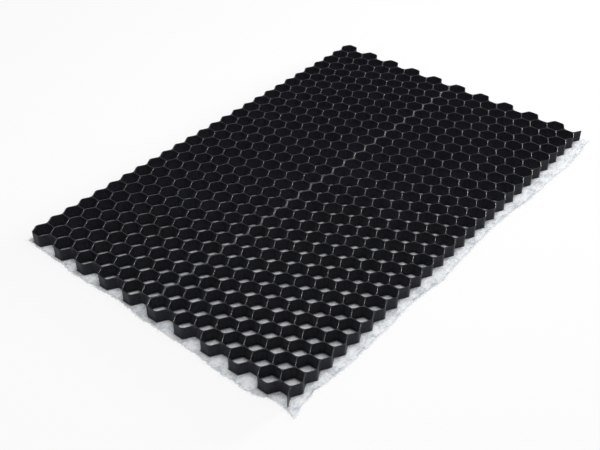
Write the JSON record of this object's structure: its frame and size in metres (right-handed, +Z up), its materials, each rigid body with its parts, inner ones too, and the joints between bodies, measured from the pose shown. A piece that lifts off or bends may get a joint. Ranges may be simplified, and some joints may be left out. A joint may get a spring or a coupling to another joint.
{
  "type": "grass paver grid",
  "caption": "Flat honeycomb paver grid of upright hexagonal plastic cells, moulded in halves that stand side by side on a sheet of fleece, to hold gravel or turf.",
  "frame": {"origin": "middle of the fleece's underside, on the ground", "axes": "+X along the rows of cells and the long side, +Y across the rows towards the left panel, +Z up"},
  "size_m": [1.1968, 0.8126, 0.031],
  "materials": {
    "grid_plastic": "black moulded plastic, satin matt",
    "fleece": "white nonwoven fleece, fibrous"
  },
  "bodies": {
    "root": {"left_panel": "grid_plastic", "right_panel": "grid_plastic", "fleece": "fleece"}
  },
  "joints": []
}
